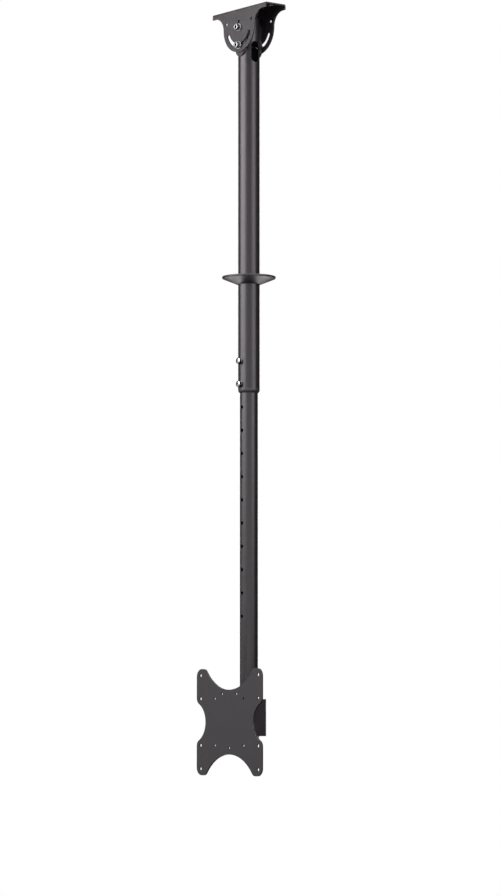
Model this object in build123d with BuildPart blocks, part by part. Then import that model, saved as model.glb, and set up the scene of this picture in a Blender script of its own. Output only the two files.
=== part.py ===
from build123d import *
from math import acos, degrees
import os

# Ceiling mount for a flat screen. A folded bracket screws to the ceiling, and a telescopic steel pole
# hangs between its two ears. The pole swings on a pivot bolt and is locked by a bolt in two arc slots.
# A trim cover slides on the outer tube, two lock screws set the inner tube's height, and the head on
# the inner tube's end lets the screen plate swivel, tilt and turn.
# Frame in millimetres: +Z up, origin at the middle of the bracket's top face, the screen faces -Y.

# Sheet and fits
SHEET = 3.0
RUN_CLEARANCE = 0.06
SLIDE_CLEARANCE = 0.10
FIXED_CLEARANCE = 0.05
PASS_CLEARANCE = 0.30
CUT_SPARE = 2.0

# Ceiling bracket
EAR_GAP = 50.0
EAR_R = 54.0
SHOULDER_R = 30.0
END_FLAT = 9.0
END_DROP = 11.5
BRACKET_BEND_R = 4.0
ARC_SLOT_R = 39.5
ARC_SLOT_CLEARANCE = 0.4
SWING_ANGLE = 65.0
SWING_SPARE_ANGLE = 2.0
EAR_HOLE_D = 7.0
EAR_HOLE_RISE = 12.5
EAR_SIDE_HOLE_X = 44.0
CEILING_SLOT_LENGTH = 16.0
CEILING_SLOT_WIDTH = 8.0
CEILING_SLOT_INSET = 16.0
CEILING_HOLE_D = 8.0
CEILING_HOLE_INSET = 45.0

# Pivot and slot bolts with their washers and lock nuts
BOLT_R = 4.0
BOLT_HEAD_R = 6.5
BOLT_HEAD_HEIGHT = 8.0
BOLT_HEAD_ROUND = 0.8
BOLT_SOCKET_FLATS = 6.0
SOCKET_SHARE = 0.5
BOLT_TIP_SHOW = 2.5
BOLT_TIP_CHAMFER = 0.8
WASHER_R = 8.5
WASHER_THICK = 1.6
NUT_FLATS = 13.0
NUT_HEIGHT = 6.0
NUT_COLLAR_HEIGHT = 2.0
HEX_FACE_SHARE = 0.95
HEX_CORNER_ANGLE = 30.0

# Outer tube, saddles, cover and end collar
OUTER_R = 23.3
OUTER_WALL = 2.0
OUTER_LENGTH = 808.0
TUBE_ABOVE_PIVOT = 21.5
SADDLE_WIDTH = 30.0
SADDLE_ABOVE_PIVOT = 15.0
SADDLE_BELOW_SLOT_BOLT = 24.0
CABLE_SLOT_LENGTH = 46.0
CABLE_SLOT_WIDTH = 20.0
CABLE_ENTRY_DROP = 53.5
COVER_DROP = 585.0
COVER_RIM_R = 58.0
COVER_RIM_HEIGHT = 4.0
COVER_HEIGHT = 17.0
COVER_WALL = 2.0
COVER_NECK_WALL = 2.2
COVER_RIM_ROUND = 2.2
COVER_LIP_ROUND = 0.9
COLLAR_LIP = 10.0
COLLAR_LINER = 28.0
COLLAR_ROUND = 7.0
COLLAR_TIP = 0.6

# Lock screws and the inner tube's row of holes
LOCK_INSET = 8.6
HOLE_PITCH = 50.0
HOLE_COUNT = 12
HOLE_D = 8.0
LOCK_WASHER_R = 7.2
LOCK_WASHER_THICK = 2.0
LOCK_WASHER_SPLIT = 1.2
LOCK_HEAD_FLATS = 13.0
LOCK_HEAD_HEIGHT = 5.3

# Inner tube and its plastic guide
INNER_R = 19.4
INNER_WALL = 1.5
INNER_OVERLAP = 119.0
GUIDE_LENGTH = 30.0
GUIDE_LIP = 2.0
CABLE_EXIT_RISE = 120.0

# Swivel yoke on the inner tube's end
TILT_DROP = 1545.0
TILT_FORWARD = 33.0
YOKE_HALF_WIDTH = 25.0
YOKE_ABOVE = 49.0
YOKE_BELOW = 30.0
YOKE_BACK = 30.0
YOKE_FRONT = 30.0
YOKE_BEND_R = 5.0
YOKE_CORNER_R = 2.6
NOSE_CLEARANCE = 0.5
BUSH_WALL = 1.4
BUSH_LENGTH = 9.0
BUSH_FLANGE_R = 22.0
BUSH_FLANGE_THICK = 1.5
DISC_THICK = 3.0
STOP_PIN_R = 2.0
STOP_PIN_TRACK_R = 24.6
STOP_RIM = 4.0
SWIVEL_ANGLE = 30.0
PLUG_LENGTH = 20.0
RETAINER_HEAD_R = 7.0
RETAINER_HEAD_HEIGHT = 3.6
RETAINER_LENGTH = 18.0

# Tilt bracket, its bolts and friction washers
TILT_SETBACK = 12.0
TILT_HEIGHT = 60.0
TILT_LUG_R = 14.0
TILT_BEND_R = 4.0
TILT_BOLT_R = 3.0
TILT_HEAD_FLATS = 10.0
TILT_HEAD_HEIGHT = 4.0
TILT_WASHER_R = 9.0
TILT_WASHER_THICK = 1.0
TILT_NUT_HEIGHT = 5.0
TILT_TIP_SHOW = 1.0

# Screen plate and its turning stud
PLATE_HOLE_MARGIN = 14.0
PLATE_TOP_WAIST = 138.0
PLATE_TOP_NOTCH_R = 98.0
PLATE_SIDE_WAIST = 166.0
PLATE_SIDE_NOTCH_R = 44.0
PLATE_TIP_R = 17.0
PLATE_NOTCH_CORNER_R = 14.0
PLATE_EDGE_ROUND = 0.6
LARGE_PATTERN = 200.0
SMALL_PATTERN = 100.0
LARGE_HOLE_D = 7.5
SMALL_HOLE_D = 5.8
TOP_PAIR_SPACING = 50.0
TOP_PAIR_RISE = 60.0
LOWER_HOLE_DROP = 55.0
STUD_R = 5.0
STUD_TIP_SHOW = 1.5
FRICTION_DISC_R = 20.0
FRICTION_DISC_THICK = 3.0
REAR_WASHER_R = 10.5
REAR_WASHER_THICK = 2.0
STUD_NUT_FLATS = 17.0
STUD_NUT_HEIGHT = 8.0

# Places that follow from the sizes above
PIVOT_DROP = END_DROP + SHOULDER_R
SLOT_BOLT_DROP = PIVOT_DROP + ARC_SLOT_R
SHOULDER_X = EAR_R + SHOULDER_R
BRACKET_HALF = SHOULDER_X + END_FLAT
EAR_INNER = EAR_GAP / 2
EAR_OUTER = EAR_INNER + SHEET
OUTER_TOP = TUBE_ABOVE_PIVOT - PIVOT_DROP
OUTER_END = OUTER_TOP - OUTER_LENGTH
OUTER_BORE_R = OUTER_R - OUTER_WALL
LOCK_LOW = OUTER_END + LOCK_INSET
LOCK_HIGH = LOCK_LOW + HOLE_PITCH
INNER_BORE_R = INNER_R - INNER_WALL
INNER_TOP = OUTER_END + INNER_OVERLAP
YOKE_TOP = YOKE_ABOVE - TILT_DROP
YOKE_FOOT = -YOKE_BELOW - TILT_DROP
YOKE_INNER = YOKE_HALF_WIDTH - SHEET
BUSH_OUTER_R = INNER_R + RUN_CLEARANCE + BUSH_WALL
RING_HOLE_R = BUSH_OUTER_R + FIXED_CLEARANCE
INNER_END = YOKE_FOOT - BUSH_FLANGE_THICK
DISC_FOOT = INNER_END - DISC_THICK
TILT_Y = -TILT_FORWARD
TILT_AXIS = (TILT_Y, -TILT_DROP)
BASE_REAR_Y = TILT_Y - TILT_SETBACK
BASE_FRONT_Y = BASE_REAR_Y - SHEET
PLATE_REAR_Y = BASE_FRONT_Y - FRICTION_DISC_THICK
PLATE_SIZE = LARGE_PATTERN + 2 * PLATE_HOLE_MARGIN
TILT_OUTER = YOKE_INNER - TILT_WASHER_THICK
TILT_INNER = TILT_OUTER - SHEET


def screw(seat, head_r, head_height, shank_r, shank_length):
    """Socket screw: the head stands on the seat plane, the shank runs back from it."""
    with BuildPart() as body:
        with BuildSketch(seat):
            Circle(head_r)
        extrude(amount=head_height)
        fillet(body.faces().sort_by(Axis(seat.origin, seat.z_dir))[-1].edges(), BOLT_HEAD_ROUND)
        with BuildSketch(seat.offset(head_height)):
            RegularPolygon(BOLT_SOCKET_FLATS / 2, 6, major_radius=False)
        extrude(amount=-head_height * SOCKET_SHARE, mode=Mode.SUBTRACT)
        with BuildSketch(seat):
            Circle(shank_r)
        extrude(amount=-shank_length)
        tip = body.faces().sort_by(Axis(seat.origin, seat.z_dir))[0]
        chamfer(tip.edges(), BOLT_TIP_CHAMFER)
    return body.part


def washer(seat, outer_r, bore_r, thick):
    """Flat ring that lies on the seat plane."""
    with BuildPart() as ring:
        with BuildSketch(seat):
            Circle(outer_r)
            Circle(bore_r, mode=Mode.SUBTRACT)
        extrude(amount=thick)
    return ring.part


def hexagon(seat, flats, height):
    """Hexagon prism on the seat plane, with the corners of its outer end turned off."""
    with BuildPart() as prism:
        with BuildSketch(seat):
            RegularPolygon(flats / 2, 6, major_radius=False)
        extrude(amount=height)
        with BuildSketch(seat.offset(height)):
            Circle(flats / 2 * HEX_FACE_SHARE)
        extrude(amount=-height, taper=HEX_CORNER_ANGLE - 90, mode=Mode.INTERSECT)
    return prism.part


def hexagon_screw(seat, flats, head_height, shank_r, shank_length):
    """Hexagon screw: the head stands on the seat plane, the shank runs back from it."""
    with BuildPart() as body:
        add(hexagon(seat, flats, head_height))
        with BuildSketch(seat):
            Circle(shank_r)
        extrude(amount=-shank_length)
    return body.part


def lock_nut(seat, flats, height, collar_height, bore_r):
    """Hexagon nut on the seat plane, with the round collar of its plastic insert."""
    with BuildPart() as nut:
        add(hexagon(seat, flats, height))
        with BuildSketch(seat.offset(height)):
            Circle(flats / 2 - BOLT_HEAD_ROUND)
        extrude(amount=collar_height)
        with BuildSketch(seat):
            Circle(bore_r)
        extrude(amount=height + collar_height, mode=Mode.SUBTRACT)
    return nut.part


def seat_at(normal, x, y, z):
    """Plane with the given outward normal, through one point."""
    return Plane(origin=(x, y, z), z_dir=normal)


def touch_point(corner, centre, radius, turn):
    """Where a line from the corner touches the circle; turn is +1 or -1 for the side it passes on."""
    away = Vector(*corner) - Vector(*centre)
    angle = degrees(acos(radius / away.length))
    return Vector(*centre) + away.normalized().rotate(Axis.Z, turn * angle) * radius


FRONT = (0, -1, 0)
REAR = (0, 1, 0)
RIGHT = (1, 0, 0)
LEFT = (-1, 0, 0)

# Ceiling bracket: a channel folded from sheet, cut to the shape of its rounded ears
slot_half_angle = SWING_ANGLE + SWING_SPARE_ANGLE
slot_path = CenterArc((0, -PIVOT_DROP), ARC_SLOT_R, 270 - slot_half_angle, 2 * slot_half_angle)
with BuildPart() as ceiling_bracket:
    ear_blank = PIVOT_DROP + EAR_R + CUT_SPARE
    with BuildSketch(Plane.YZ):
        Rectangle(2 * EAR_OUTER, ear_blank, align=(Align.CENTER, Align.MAX))
        fillet(vertices().group_by(Axis.Y)[-1], BRACKET_BEND_R)
        with BuildSketch(mode=Mode.PRIVATE) as channel:
            with Locations((0, -SHEET)):
                Rectangle(EAR_GAP, ear_blank, align=(Align.CENTER, Align.MAX))
            fillet(vertices().group_by(Axis.Y)[-1], BRACKET_BEND_R - SHEET)
        add(channel.sketch, mode=Mode.SUBTRACT)
    extrude(amount=BRACKET_HALF + CUT_SPARE, both=True)
    with BuildSketch(Plane.XZ):
        with BuildLine():
            Polyline(
                (-SHOULDER_X, -END_DROP),
                (-BRACKET_HALF, -END_DROP),
                (-BRACKET_HALF, CUT_SPARE),
                (BRACKET_HALF, CUT_SPARE),
                (BRACKET_HALF, -END_DROP),
                (SHOULDER_X, -END_DROP),
            )
            CenterArc((SHOULDER_X, -PIVOT_DROP), SHOULDER_R, 90, 90)
            CenterArc((0, -PIVOT_DROP), EAR_R, 0, -180)
            CenterArc((-SHOULDER_X, -PIVOT_DROP), SHOULDER_R, 0, 90)
        make_face()
    extrude(amount=EAR_OUTER + CUT_SPARE, both=True, mode=Mode.INTERSECT)
    with BuildSketch(Plane.XZ):
        with Locations((0, -PIVOT_DROP)):
            Circle(BOLT_R + RUN_CLEARANCE)
        SlotArc(slot_path, 2 * (BOLT_R + ARC_SLOT_CLEARANCE))
        hole_z = EAR_HOLE_RISE - PIVOT_DROP
        with Locations((-EAR_SIDE_HOLE_X, hole_z), (0, hole_z), (EAR_SIDE_HOLE_X, hole_z)):
            Circle(EAR_HOLE_D / 2)
    extrude(amount=EAR_OUTER + CUT_SPARE, both=True, mode=Mode.SUBTRACT)
    with BuildSketch(Plane.XY):
        with GridLocations(2 * (BRACKET_HALF - CEILING_SLOT_INSET), 0, 2, 1):
            SlotOverall(CEILING_SLOT_LENGTH, CEILING_SLOT_WIDTH)
        with GridLocations(2 * (BRACKET_HALF - CEILING_HOLE_INSET), 0, 2, 1):
            Circle(CEILING_HOLE_D / 2)
    extrude(amount=-(SHEET + CUT_SPARE), mode=Mode.SUBTRACT)

# Outer tube: cross holes for the two bolts, a cable slot on one side, tapped holes for the lock screws
with BuildPart() as outer_tube:
    with BuildSketch(Plane.XY.offset(OUTER_END)):
        Circle(OUTER_R)
        Circle(OUTER_BORE_R, mode=Mode.SUBTRACT)
    extrude(amount=OUTER_LENGTH)
    with BuildSketch(Plane.XZ):
        with Locations((0, -PIVOT_DROP), (0, -SLOT_BOLT_DROP)):
            Circle(BOLT_R + FIXED_CLEARANCE)
    extrude(amount=OUTER_R + CUT_SPARE, both=True, mode=Mode.SUBTRACT)
    with BuildSketch(Plane.XZ):
        with Locations((0, LOCK_LOW), (0, LOCK_HIGH)):
            Circle(BOLT_R + FIXED_CLEARANCE)
    extrude(amount=OUTER_R + CUT_SPARE, mode=Mode.SUBTRACT)
    with BuildSketch(Plane.YZ):
        with Locations((0, -PIVOT_DROP - CABLE_ENTRY_DROP)):
            SlotOverall(CABLE_SLOT_LENGTH, CABLE_SLOT_WIDTH, rotation=90)
    extrude(amount=OUTER_R + CUT_SPARE, mode=Mode.SUBTRACT)


def saddle(side):
    """Round-ended block between the tube and an ear, hollowed to the tube; side is +1 front, -1 rear."""
    top = SADDLE_ABOVE_PIVOT - PIVOT_DROP
    foot = -SLOT_BOLT_DROP - SADDLE_BELOW_SLOT_BOLT
    with BuildPart() as block:
        with BuildSketch(Plane.XZ):
            with Locations((0, (top + foot) / 2)):
                SlotOverall(top - foot, SADDLE_WIDTH, rotation=90)
        extrude(amount=side * EAR_INNER)
        with BuildSketch(Plane.XY.offset(foot - CUT_SPARE)):
            Circle(OUTER_R + FIXED_CLEARANCE)
        extrude(amount=top - foot + 2 * CUT_SPARE, mode=Mode.SUBTRACT)
        with BuildSketch(Plane.XZ):
            with Locations((0, -PIVOT_DROP), (0, -SLOT_BOLT_DROP)):
                Circle(BOLT_R + FIXED_CLEARANCE)
        extrude(amount=side * (EAR_INNER + CUT_SPARE), mode=Mode.SUBTRACT)
    return block.part


# Pivot bolt and slot bolt: the same screw, washers and nut at two heights
cross_parts = {}
for cross_name, cross_drop in (("pivot", PIVOT_DROP), ("slot", SLOT_BOLT_DROP)):
    front_seat = seat_at(FRONT, 0, -EAR_OUTER, -cross_drop)
    rear_seat = seat_at(REAR, 0, EAR_OUTER, -cross_drop)
    stack = 2 * (EAR_OUTER + WASHER_THICK) + NUT_HEIGHT + NUT_COLLAR_HEIGHT + BOLT_TIP_SHOW
    washer_bore = BOLT_R + FIXED_CLEARANCE
    cross_parts[cross_name + "_bolt"] = screw(
        front_seat.offset(WASHER_THICK), BOLT_HEAD_R, BOLT_HEAD_HEIGHT, BOLT_R, stack
    )
    cross_parts[cross_name + "_washers"] = Compound([
        washer(front_seat, WASHER_R, washer_bore, WASHER_THICK),
        washer(rear_seat, WASHER_R, washer_bore, WASHER_THICK),
    ])
    cross_parts[cross_name + "_nut"] = lock_nut(
        rear_seat.offset(WASHER_THICK), NUT_FLATS, NUT_HEIGHT, NUT_COLLAR_HEIGHT, washer_bore
    )

# Ceiling cover: a thin dish, open upwards, that slides on the outer tube
with BuildPart() as ceiling_cover:
    cover_bore = OUTER_R + PASS_CLEARANCE
    neck_r = cover_bore + COVER_NECK_WALL
    rim_foot = -COVER_DROP - COVER_RIM_HEIGHT
    cover_foot = -COVER_DROP - COVER_HEIGHT
    with BuildSketch(Plane.XZ):
        with BuildLine():
            Polyline(
                (cover_bore, cover_foot),
                (neck_r, cover_foot),
                (COVER_RIM_R, rim_foot),
                (COVER_RIM_R, -COVER_DROP),
                (COVER_RIM_R - COVER_WALL, -COVER_DROP),
                (COVER_RIM_R - COVER_WALL, rim_foot + COVER_WALL / 2),
                (neck_r, cover_foot + COVER_WALL + COVER_WALL / 2),
                (cover_bore, cover_foot + COVER_WALL + COVER_WALL / 2),
                close=True,
            )
        make_face()
        fillet(vertices().sort_by_distance((COVER_RIM_R, rim_foot))[0], COVER_RIM_ROUND)
        fillet(vertices().group_by(Axis.Y)[-1], COVER_LIP_ROUND)
    revolve(axis=Axis.Z)

# End collar: a plastic bush pressed into the outer tube's end, which guides the inner tube
with BuildPart() as tube_end_collar:
    collar_bore = INNER_R + SLIDE_CLEARANCE
    collar_foot = OUTER_END - COLLAR_LIP
    liner_r = OUTER_BORE_R - FIXED_CLEARANCE
    round_top = (OUTER_R, collar_foot + COLLAR_ROUND)
    round_foot = (collar_bore + COLLAR_TIP, collar_foot)
    with BuildSketch(Plane.XZ):
        with BuildLine():
            TangentArc(round_top, round_foot, tangent=(0, -1))
            Polyline(
                round_foot,
                (collar_bore, collar_foot),
                (collar_bore, OUTER_END + COLLAR_LINER),
                (liner_r, OUTER_END + COLLAR_LINER),
                (liner_r, OUTER_END),
                (OUTER_R, OUTER_END),
                round_top,
            )
        make_face()
    revolve(axis=Axis.Z)
    with BuildSketch(Plane.XZ):
        with Locations((0, LOCK_LOW)):
            Circle(BOLT_R + PASS_CLEARANCE)
    extrude(amount=OUTER_R, mode=Mode.SUBTRACT)

# Lock screws with split washers: their tips stop just short of the inner tube
lock_screw_parts = []
lock_washer_parts = []
for lock_z in (LOCK_LOW, LOCK_HIGH):
    lock_seat = seat_at(FRONT, 0, -OUTER_R, lock_z)
    lock_reach = OUTER_R + LOCK_WASHER_THICK - INNER_R - PASS_CLEARANCE
    head_seat = lock_seat.offset(LOCK_WASHER_THICK)
    lock_screw_parts.append(hexagon_screw(head_seat, LOCK_HEAD_FLATS, LOCK_HEAD_HEIGHT, BOLT_R, lock_reach))
    with BuildPart() as split_washer:
        with BuildSketch(lock_seat):
            Circle(LOCK_WASHER_R)
            Circle(BOLT_R + FIXED_CLEARANCE, mode=Mode.SUBTRACT)
            with Locations((LOCK_WASHER_R / 2, 0)):
                Rectangle(LOCK_WASHER_R, LOCK_WASHER_SPLIT, mode=Mode.SUBTRACT)
        extrude(amount=LOCK_WASHER_THICK)
    lock_washer_parts.append(split_washer.part)

# Inner tube: a row of lock holes in front and a cable slot behind
with BuildPart() as inner_tube:
    with BuildSketch(Plane.XY.offset(INNER_END)):
        Circle(INNER_R)
        Circle(INNER_BORE_R, mode=Mode.SUBTRACT)
    extrude(amount=INNER_TOP - INNER_END)
    with BuildSketch(Plane.XZ):
        with Locations(*[(0, LOCK_HIGH - step * HOLE_PITCH) for step in range(HOLE_COUNT)]):
            Circle(HOLE_D / 2)
    extrude(amount=INNER_R + CUT_SPARE, mode=Mode.SUBTRACT)
    with BuildSketch(Plane.XZ):
        with Locations((0, INNER_END + CABLE_EXIT_RISE)):
            SlotOverall(CABLE_SLOT_LENGTH, CABLE_SLOT_WIDTH, rotation=90)
    extrude(amount=-(INNER_R + CUT_SPARE), mode=Mode.SUBTRACT)

# Guide ring on the inner tube's top end, running in the outer tube
with BuildPart() as top_guide_ring:
    guide_r = OUTER_BORE_R - SLIDE_CLEARANCE
    with BuildSketch(Plane.XY.offset(INNER_TOP - GUIDE_LENGTH)):
        Circle(guide_r)
        Circle(INNER_R + FIXED_CLEARANCE, mode=Mode.SUBTRACT)
    extrude(amount=GUIDE_LENGTH)
    with BuildSketch(Plane.XY.offset(INNER_TOP)):
        Circle(guide_r)
        Circle(INNER_BORE_R, mode=Mode.SUBTRACT)
    extrude(amount=GUIDE_LIP)

# End plug, retaining disc and bolt: they hold the head on the inner tube and stop its swivel
with BuildPart() as tube_end_plug:
    with BuildSketch(Plane.XY.offset(INNER_END)):
        Circle(INNER_BORE_R - FIXED_CLEARANCE)
        Circle(BOLT_R + FIXED_CLEARANCE, mode=Mode.SUBTRACT)
    extrude(amount=PLUG_LENGTH)

stop_path = CenterArc((0, 0), STOP_PIN_TRACK_R, 270 - SWIVEL_ANGLE, 2 * SWIVEL_ANGLE)
with BuildPart() as retaining_disc:
    track_half_width = STOP_PIN_R + PASS_CLEARANCE
    with BuildSketch(Plane.XY.offset(DISC_FOOT)):
        Circle(BUSH_FLANGE_R)
        SlotArc(stop_path, 2 * (track_half_width + STOP_RIM))
        SlotArc(stop_path, 2 * track_half_width, mode=Mode.SUBTRACT)
        Circle(BOLT_R + FIXED_CLEARANCE, mode=Mode.SUBTRACT)
    extrude(amount=DISC_THICK)

retaining_bolt = screw(
    seat_at((0, 0, -1), 0, 0, DISC_FOOT), RETAINER_HEAD_R, RETAINER_HEAD_HEIGHT, BOLT_R, RETAINER_LENGTH
)

# Swivel yoke: a folded sheet round the tube, with a ring plate welded in at its top and its foot
with BuildPart() as swivel_yoke:
    yoke_blank = YOKE_ABOVE + YOKE_BELOW + 2 * CUT_SPARE
    yoke_depth = YOKE_BACK - TILT_Y + TILT_SETBACK
    with BuildSketch(Plane.XY.offset(YOKE_FOOT - CUT_SPARE)):
        with Locations((0, YOKE_BACK)):
            Rectangle(2 * YOKE_HALF_WIDTH, yoke_depth, align=(Align.CENTER, Align.MAX))
        fillet(vertices().group_by(Axis.Y)[-1], YOKE_BEND_R)
        with BuildSketch(mode=Mode.PRIVATE) as tube_room:
            with Locations((0, YOKE_BACK - SHEET)):
                Rectangle(2 * YOKE_INNER, yoke_depth, align=(Align.CENTER, Align.MAX))
            fillet(vertices().group_by(Axis.Y)[-1], YOKE_BEND_R - SHEET)
        add(tube_room.sketch, mode=Mode.SUBTRACT)
    extrude(amount=yoke_blank)
    with BuildSketch(Plane.YZ):
        nose_r = TILT_SETBACK - NOSE_CLEARANCE
        nose_high = touch_point((-YOKE_FRONT, YOKE_TOP), TILT_AXIS, nose_r, 1)
        nose_low = touch_point((-YOKE_FRONT, YOKE_FOOT), TILT_AXIS, nose_r, -1)
        with BuildLine():
            Polyline(
                nose_high,
                (-YOKE_FRONT, YOKE_TOP),
                (YOKE_BACK, YOKE_TOP),
                (YOKE_BACK, YOKE_FOOT),
                (-YOKE_FRONT, YOKE_FOOT),
                nose_low,
            )
            ThreePointArc(nose_low, (TILT_Y - nose_r, -TILT_DROP), nose_high)
        make_face()
        for corner_y in (-YOKE_FRONT, YOKE_BACK):
            fillet(vertices().sort_by_distance((corner_y, YOKE_TOP))[0], YOKE_CORNER_R)
            fillet(vertices().sort_by_distance((corner_y, YOKE_FOOT))[0], YOKE_CORNER_R)
    extrude(amount=YOKE_HALF_WIDTH + CUT_SPARE, both=True, mode=Mode.INTERSECT)
    ring_depth = YOKE_BACK - YOKE_CORNER_R + YOKE_FRONT - SHEET / 2
    for ring_foot in (YOKE_FOOT, YOKE_TOP - SHEET):
        with BuildSketch(Plane.XY.offset(ring_foot)):
            with Locations((0, YOKE_BACK - YOKE_CORNER_R)):
                Rectangle(2 * YOKE_INNER + SHEET, ring_depth, align=(Align.CENTER, Align.MAX))
            Circle(RING_HOLE_R, mode=Mode.SUBTRACT)
        extrude(amount=SHEET)
    with BuildSketch(Plane.YZ):
        with Locations((TILT_Y, -TILT_DROP)):
            Circle(TILT_BOLT_R + RUN_CLEARANCE)
    extrude(amount=YOKE_HALF_WIDTH + CUT_SPARE, both=True, mode=Mode.SUBTRACT)
    with BuildSketch(Plane.XY.offset(YOKE_FOOT)):
        with Locations((0, -STOP_PIN_TRACK_R)):
            Circle(STOP_PIN_R + FIXED_CLEARANCE)
    extrude(amount=SHEET, mode=Mode.SUBTRACT)


def swivel_bush(seat):
    """Flanged plastic bush: its flange lies on the seat plane, its sleeve runs back into the ring plate."""
    with BuildPart() as bush:
        with BuildSketch(seat):
            Circle(BUSH_FLANGE_R)
        extrude(amount=BUSH_FLANGE_THICK)
        with BuildSketch(seat):
            Circle(BUSH_OUTER_R)
        extrude(amount=-BUSH_LENGTH)
        with BuildSketch(seat.offset(BUSH_FLANGE_THICK)):
            Circle(INNER_R + RUN_CLEARANCE)
        extrude(amount=-(BUSH_FLANGE_THICK + BUSH_LENGTH), mode=Mode.SUBTRACT)
    return bush.part


# Stop pin: riveted in the lower ring plate, it travels in the retaining disc's arc slot
with BuildPart() as swivel_stop_pin:
    with BuildSketch(Plane.XY.offset(DISC_FOOT)):
        with Locations((0, -STOP_PIN_TRACK_R)):
            Circle(STOP_PIN_R)
    extrude(amount=YOKE_FOOT + SHEET - DISC_FOOT)

# Tilt bracket: a folded sheet whose two lugs swing between the yoke's cheeks
with BuildPart() as tilt_bracket:
    lug_reach = TILT_SETBACK + SHEET + TILT_LUG_R + CUT_SPARE
    with BuildSketch(Plane.XY.offset(-TILT_DROP - TILT_HEIGHT / 2 - CUT_SPARE)):
        with Locations((0, BASE_FRONT_Y)):
            Rectangle(2 * TILT_OUTER, lug_reach, align=(Align.CENTER, Align.MIN))
        fillet(vertices().group_by(Axis.Y)[0], TILT_BEND_R)
        with BuildSketch(mode=Mode.PRIVATE) as lug_room:
            with Locations((0, BASE_REAR_Y)):
                Rectangle(2 * TILT_INNER, lug_reach, align=(Align.CENTER, Align.MIN))
            fillet(vertices().group_by(Axis.Y)[0], TILT_BEND_R - SHEET)
        add(lug_room.sketch, mode=Mode.SUBTRACT)
    extrude(amount=TILT_HEIGHT + 2 * CUT_SPARE)
    with BuildSketch(Plane.YZ):
        base_top = TILT_HEIGHT / 2 - TILT_DROP
        base_foot = -TILT_HEIGHT / 2 - TILT_DROP
        bend_y = BASE_FRONT_Y + TILT_BEND_R
        lug_high = touch_point((bend_y, base_top), TILT_AXIS, TILT_LUG_R, -1)
        lug_low = touch_point((bend_y, base_foot), TILT_AXIS, TILT_LUG_R, 1)
        with BuildLine():
            Polyline(
                lug_high,
                (bend_y, base_top),
                (BASE_FRONT_Y - CUT_SPARE, base_top),
                (BASE_FRONT_Y - CUT_SPARE, base_foot),
                (bend_y, base_foot),
                lug_low,
            )
            ThreePointArc(lug_low, (TILT_Y + TILT_LUG_R, -TILT_DROP), lug_high)
        make_face()
    extrude(amount=TILT_OUTER + CUT_SPARE, both=True, mode=Mode.INTERSECT)
    with BuildSketch(Plane.YZ):
        with Locations((TILT_Y, -TILT_DROP)):
            Circle(TILT_BOLT_R + FIXED_CLEARANCE)
    extrude(amount=TILT_OUTER + CUT_SPARE, both=True, mode=Mode.SUBTRACT)
    with BuildSketch(Plane.XZ.offset(-BASE_REAR_Y)):
        with Locations((0, -TILT_DROP)):
            Circle(STUD_R + RUN_CLEARANCE)
    extrude(amount=SHEET, mode=Mode.SUBTRACT)

# Tilt bolts, friction washers and nuts, one set in each cheek
tilt_sets = {"tilt_bolts": [], "tilt_friction_washers": [], "tilt_nuts": []}
tilt_bore = TILT_BOLT_R + FIXED_CLEARANCE
for outward, side in ((RIGHT, 1), (LEFT, -1)):
    cheek_seat = seat_at(outward, side * YOKE_HALF_WIDTH, TILT_Y, -TILT_DROP)
    tilt_reach = YOKE_HALF_WIDTH - TILT_INNER + TILT_NUT_HEIGHT + TILT_TIP_SHOW
    tilt_sets["tilt_bolts"].append(
        hexagon_screw(cheek_seat, TILT_HEAD_FLATS, TILT_HEAD_HEIGHT, TILT_BOLT_R, tilt_reach)
    )
    tilt_sets["tilt_friction_washers"].append(
        washer(cheek_seat.offset(TILT_OUTER - YOKE_HALF_WIDTH), TILT_WASHER_R, tilt_bore, TILT_WASHER_THICK)
    )
    with BuildPart() as tilt_nut:
        lug_seat = seat_at([-axis for axis in outward], side * TILT_INNER, TILT_Y, -TILT_DROP)
        add(hexagon(lug_seat, TILT_HEAD_FLATS, TILT_NUT_HEIGHT))
        with BuildSketch(lug_seat):
            Circle(tilt_bore)
        extrude(amount=TILT_NUT_HEIGHT, mode=Mode.SUBTRACT)
    tilt_sets["tilt_nuts"].append(tilt_nut.part)

# Screen plate: a flat sheet cut to four arms, with the hole patterns of the screen's back
with BuildPart() as screen_plate:
    with BuildSketch(Plane((0, PLATE_REAR_Y, -TILT_DROP), x_dir=(1, 0, 0), z_dir=FRONT)):
        Rectangle(PLATE_SIZE, PLATE_SIZE)
        with GridLocations(0, PLATE_TOP_WAIST + 2 * PLATE_TOP_NOTCH_R, 1, 2):
            Circle(PLATE_TOP_NOTCH_R, mode=Mode.SUBTRACT)
        with GridLocations(PLATE_SIDE_WAIST + 2 * PLATE_SIDE_NOTCH_R, 0, 2, 1):
            Circle(PLATE_SIDE_NOTCH_R, mode=Mode.SUBTRACT)
        fillet(vertices().sort_by_distance((0, 0))[:-4], PLATE_NOTCH_CORNER_R)
        fillet(vertices().sort_by_distance((0, 0))[-4:], PLATE_TIP_R)
    extrude(amount=SHEET)
    fillet(faces().sort_by(Axis.Y)[0].outer_wire().edges(), PLATE_EDGE_ROUND)
    with BuildSketch(Plane((0, PLATE_REAR_Y, -TILT_DROP), x_dir=(1, 0, 0), z_dir=FRONT)):
        with GridLocations(LARGE_PATTERN, LARGE_PATTERN, 2, 2):
            Circle(LARGE_HOLE_D / 2)
        with GridLocations(LARGE_PATTERN, SMALL_PATTERN, 2, 2):
            Circle(LARGE_HOLE_D / 2)
        with GridLocations(SMALL_PATTERN, SMALL_PATTERN, 2, 2):
            Circle(SMALL_HOLE_D / 2)
        with Locations((0, TOP_PAIR_RISE)):
            with GridLocations(TOP_PAIR_SPACING, 0, 2, 1):
                Circle(SMALL_HOLE_D / 2)
        with Locations((0, -LOWER_HOLE_DROP)):
            Circle(SMALL_HOLE_D / 2)
    extrude(amount=SHEET, mode=Mode.SUBTRACT)

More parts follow.
